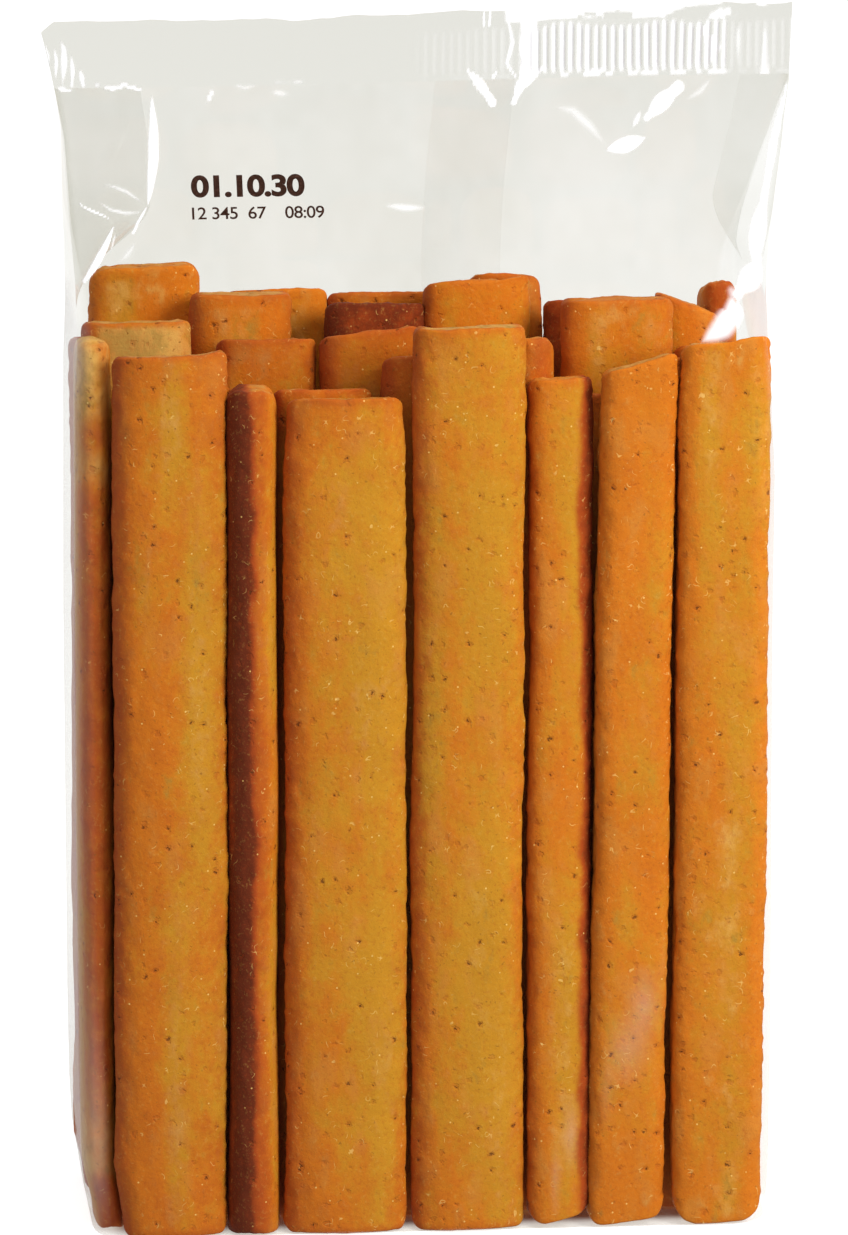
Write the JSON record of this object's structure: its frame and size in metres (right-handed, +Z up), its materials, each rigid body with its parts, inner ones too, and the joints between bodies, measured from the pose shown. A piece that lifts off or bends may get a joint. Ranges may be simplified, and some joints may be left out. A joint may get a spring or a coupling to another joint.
{
  "type": "bag of flat crispbread sticks",
  "caption": "Clear side-gusseted film bag, crimp-sealed along the top, standing upright and packed with flat baked crispbread sticks that rise to uneven heights.",
  "frame": {"origin": "centre of the bag's flat base, on the surface it stands on", "axes": "+Z up along the sticks to the sealed top, +X along the wide face to the right, -Y out of the front face"},
  "size_m": [0.1328, 0.0526, 0.214],
  "materials": {
    "bread_in_film": "satin",
    "crispbread": "matte",
    "clear_film": "gloss",
    "date_ink": "satin"
  },
  "bodies": {
    "root": {"film_bag": "bread_in_film"}
  },
  "joints": []
}
